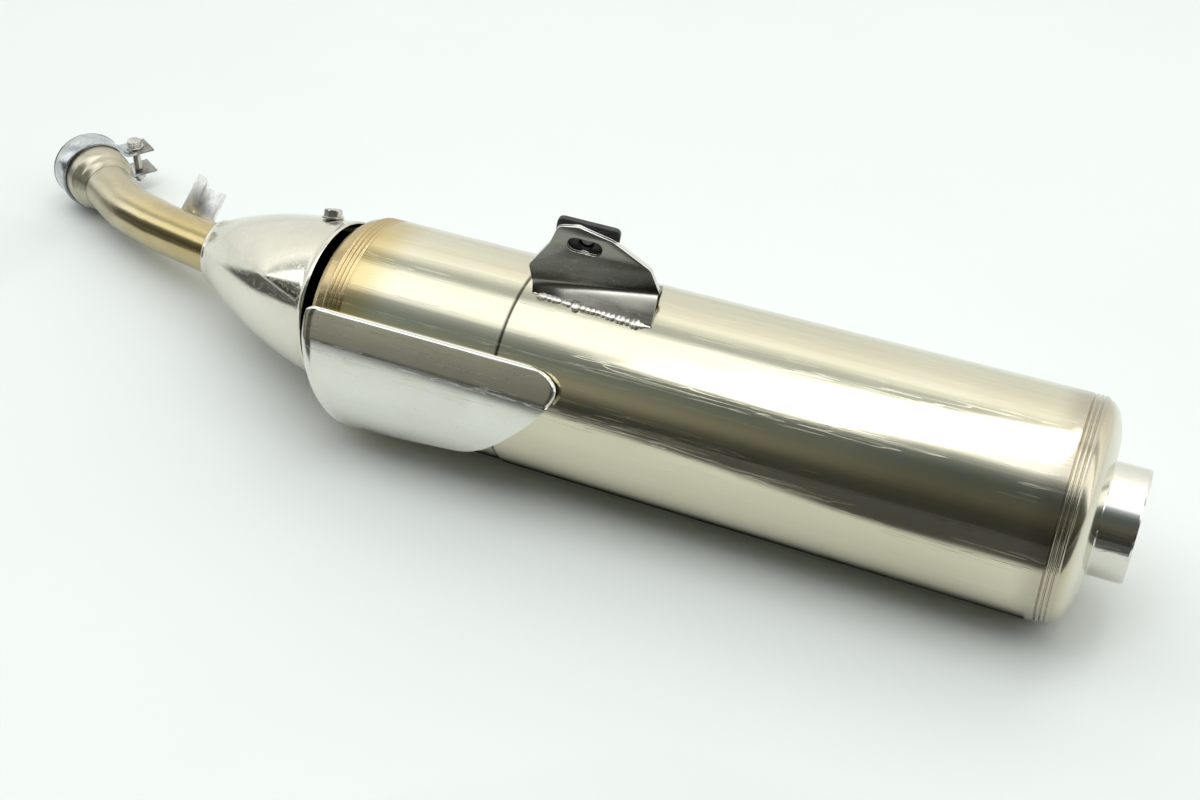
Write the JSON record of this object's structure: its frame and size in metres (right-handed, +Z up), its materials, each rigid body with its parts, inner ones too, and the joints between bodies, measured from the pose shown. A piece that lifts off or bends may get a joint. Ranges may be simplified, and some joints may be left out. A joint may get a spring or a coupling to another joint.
{
  "type": "motorcycle exhaust muffler",
  "caption": "Cylindrical stainless muffler with a bent inlet pipe, clamped socket, cone cover, side shield, frame hanger and round tail spout.",
  "frame": {"origin": "centre of the object's footprint on the surface it lies on", "axes": "+X along the can's axis from the inlet towards the tail, +Z up, the side shield faces -Y"},
  "size_m": [0.8164, 0.2372, 0.1729],
  "materials": {
    "shell_steel": "satin brushed stainless steel",
    "cap_steel": "bright stainless steel",
    "spout_steel": "polished stainless steel",
    "pipe_steel": "heat-tinted satin stainless steel",
    "cover_mirror": "mirror-polished stainless steel",
    "shield_aluminium": "polished aluminium",
    "hanger_steel": "grey satin stainless steel",
    "black_steel": "black coated steel",
    "weld_metal": "raw weld bead",
    "zinc_steel": "zinc-plated steel",
    "inner_steel": "plain stainless sheet",
    "gasket": "graphite sealing ring",
    "wool": "glass wool"
  },
  "bodies": {
    "muffler": {"front_shell": "shell_steel", "rear_shell": "shell_steel", "front_cap": "cap_steel", "rear_cap": "cap_steel", "tail_spout": "spout_steel", "outlet_tube": "inner_steel", "inlet_pipe": "pipe_steel", "inlet_weld": "weld_metal", "inlet_socket": "zinc_steel", "gasket_ring": "gasket", "pipe_channel": "pipe_steel", "cone_cover": "cover_mirror", "cover_tab": "zinc_steel", "cover_screw": "zinc_steel", "cover_washer": "zinc_steel", "side_shield": "shield_aluminium", "shield_standoffs": "inner_steel", "hanger_front_sheet": "hanger_steel", "hanger_rear_sheet": "hanger_steel", "hanger_welds": "weld_metal", "nut_plate": "black_steel", "hanger_nut": "zinc_steel", "front_baffle": "inner_steel", "middle_baffle": "inner_steel", "rear_baffle": "inner_steel", "core_tube": "inner_steel", "liner": "inner_steel", "glass_wool": "wool", "transfer_tubes": "inner_steel"},
    "clamp": {"clamp_band": "zinc_steel", "clamp_nut": "zinc_steel", "clamp_washer": "zinc_steel"},
    "clamp_bolt": {"clamp_bolt": "zinc_steel"}
  },
  "joints": [
    {"name": "clamp_turn", "type": "hinge", "parent": "muffler", "child": "clamp", "pos_m": [-0.38406, 0.07298, 0.02635], "axis": [0.8704, -0.4924, 0], "continuous": true},
    {"name": "clamp_bolt_turn", "type": "hinge", "parent": "clamp", "child": "clamp_bolt", "pos_m": [-0.36668, 0.10371, 0.02468], "axis": [0.0232, 0.041, 0.9989], "continuous": true}
  ]
}
